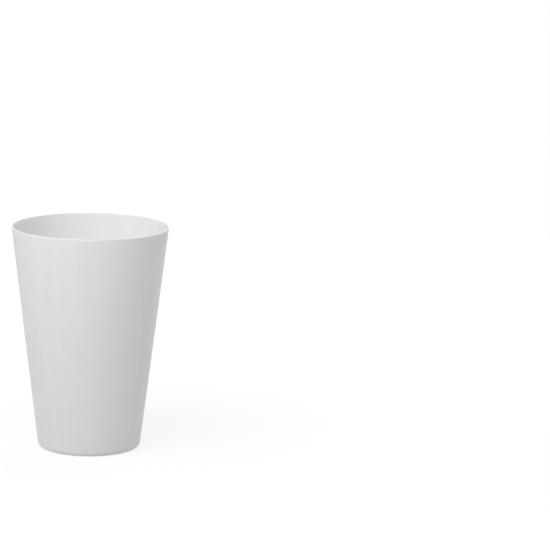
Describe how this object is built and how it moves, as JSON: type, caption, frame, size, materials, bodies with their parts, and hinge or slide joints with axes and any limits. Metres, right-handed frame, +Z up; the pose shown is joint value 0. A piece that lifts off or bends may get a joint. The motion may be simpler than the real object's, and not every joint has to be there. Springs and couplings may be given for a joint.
{
  "type": "plastic cup",
  "caption": "Tall tapered drinking cup for cold water, moulded in one piece of thin milky white plastic, with a plain rounded lip and a recessed base.",
  "frame": {"origin": "centre of the foot, on the surface that the cup stands on", "axes": "+Z up the axis of the cup, from the foot to the mouth"},
  "size_m": [0.07, 0.07, 0.1],
  "materials": {
    "milky_plastic": "satin moulded polypropylene, milky white and faintly translucent"
  },
  "bodies": {
    "root": {"cup": "milky_plastic"}
  },
  "joints": []
}
